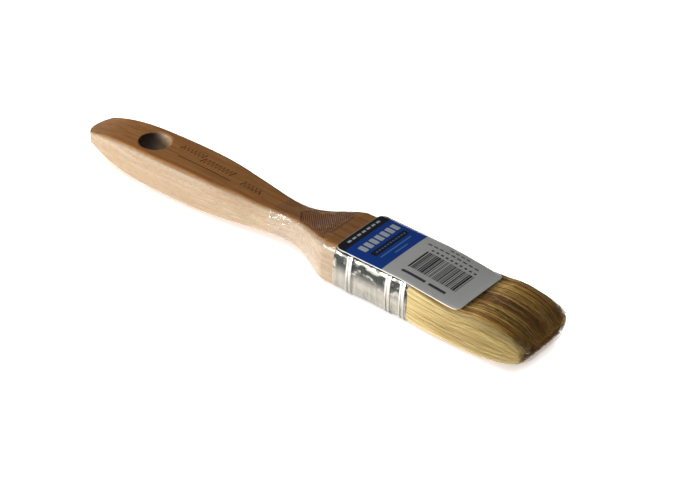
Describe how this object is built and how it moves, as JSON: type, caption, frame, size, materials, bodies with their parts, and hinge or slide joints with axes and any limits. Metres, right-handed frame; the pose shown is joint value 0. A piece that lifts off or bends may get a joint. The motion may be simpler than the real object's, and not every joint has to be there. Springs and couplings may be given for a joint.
{
  "type": "paint brush",
  "caption": "Flat paint brush for decorating: waisted beech handle with a hanging hole, tinned steel ferrule, pale hog bristle, plain printed card under clear shrink film.",
  "frame": {"origin": "bottom centre of the whole brush as it lies label up", "axes": "+X from the handle's end to the bristle tip, +Y across the width, +Z out of the labelled face"},
  "size_m": [0.2123, 0.0324, 0.0198],
  "materials": {
    "beech": "fine-grained beech, sanded and unvarnished",
    "tinned_steel": "bright rolled tinplate",
    "nail_steel": "plain steel",
    "resin": "dark set resin",
    "bristle": "natural hog bristle, pale golden sides and brown face",
    "printed_card": "printed card, blue, black and pale grey",
    "clear_film": "clear glossy shrink film"
  },
  "bodies": {
    "brush_body": {"handle": "beech", "ferrule": "tinned_steel", "ferrule_nails": "nail_steel", "setting_resin": "resin", "filler_strip": "beech", "bristle_root_front": "bristle", "bristle_root_back": "bristle", "label_card": "printed_card", "shrink_film": "clear_film"},
    "bristle_tuft": {"bristles_front": "bristle", "bristles_back": "bristle"}
  },
  "joints": [
    {"name": "bristle_flex", "type": "hinge", "parent": "brush_body", "child": "bristle_tuft", "pos_m": [0.06445, 0, 0.00962], "axis": [0, 1, 0], "range_deg": [-25, 25], "stiffness_Nm_per_rad": 0.4, "deforming": ["label_card", "shrink_film"]}
  ]
}
